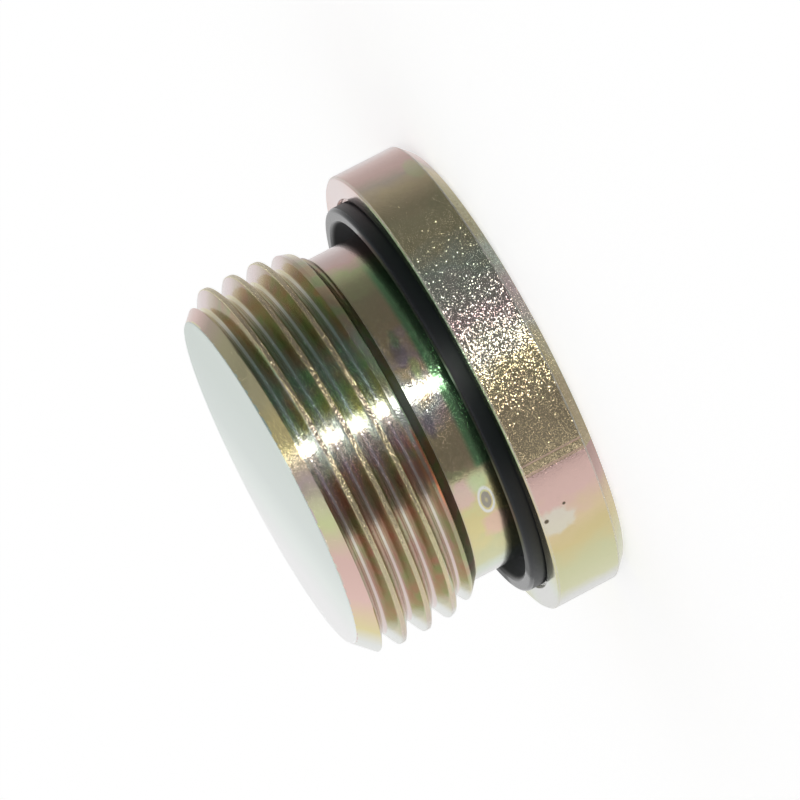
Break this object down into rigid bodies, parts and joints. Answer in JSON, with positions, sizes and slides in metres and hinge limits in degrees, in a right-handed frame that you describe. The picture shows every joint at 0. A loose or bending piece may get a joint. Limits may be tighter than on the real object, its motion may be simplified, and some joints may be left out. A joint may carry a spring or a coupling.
{
  "type": "threaded port plug",
  "caption": "Blanking screw plug with a round head, a parallel pipe thread, a hexagon socket and a captive sealing ring.",
  "frame": {"origin": "centre of the head's outer face, which holds the hexagon socket", "axes": "+Z along the plug's axis, from the head towards the free end of the thread; two flats of the socket face +Y and -Y"},
  "size_m": [0.0398, 0.0398, 0.0225],
  "materials": {
    "plated_steel": "zinc plated with a yellow, slightly iridescent passivation; fine turned grain",
    "seal_rubber": "moulded, satin black"
  },
  "bodies": {
    "root": {"plug_body": "plated_steel", "seal_ring": "seal_rubber"}
  },
  "joints": []
}
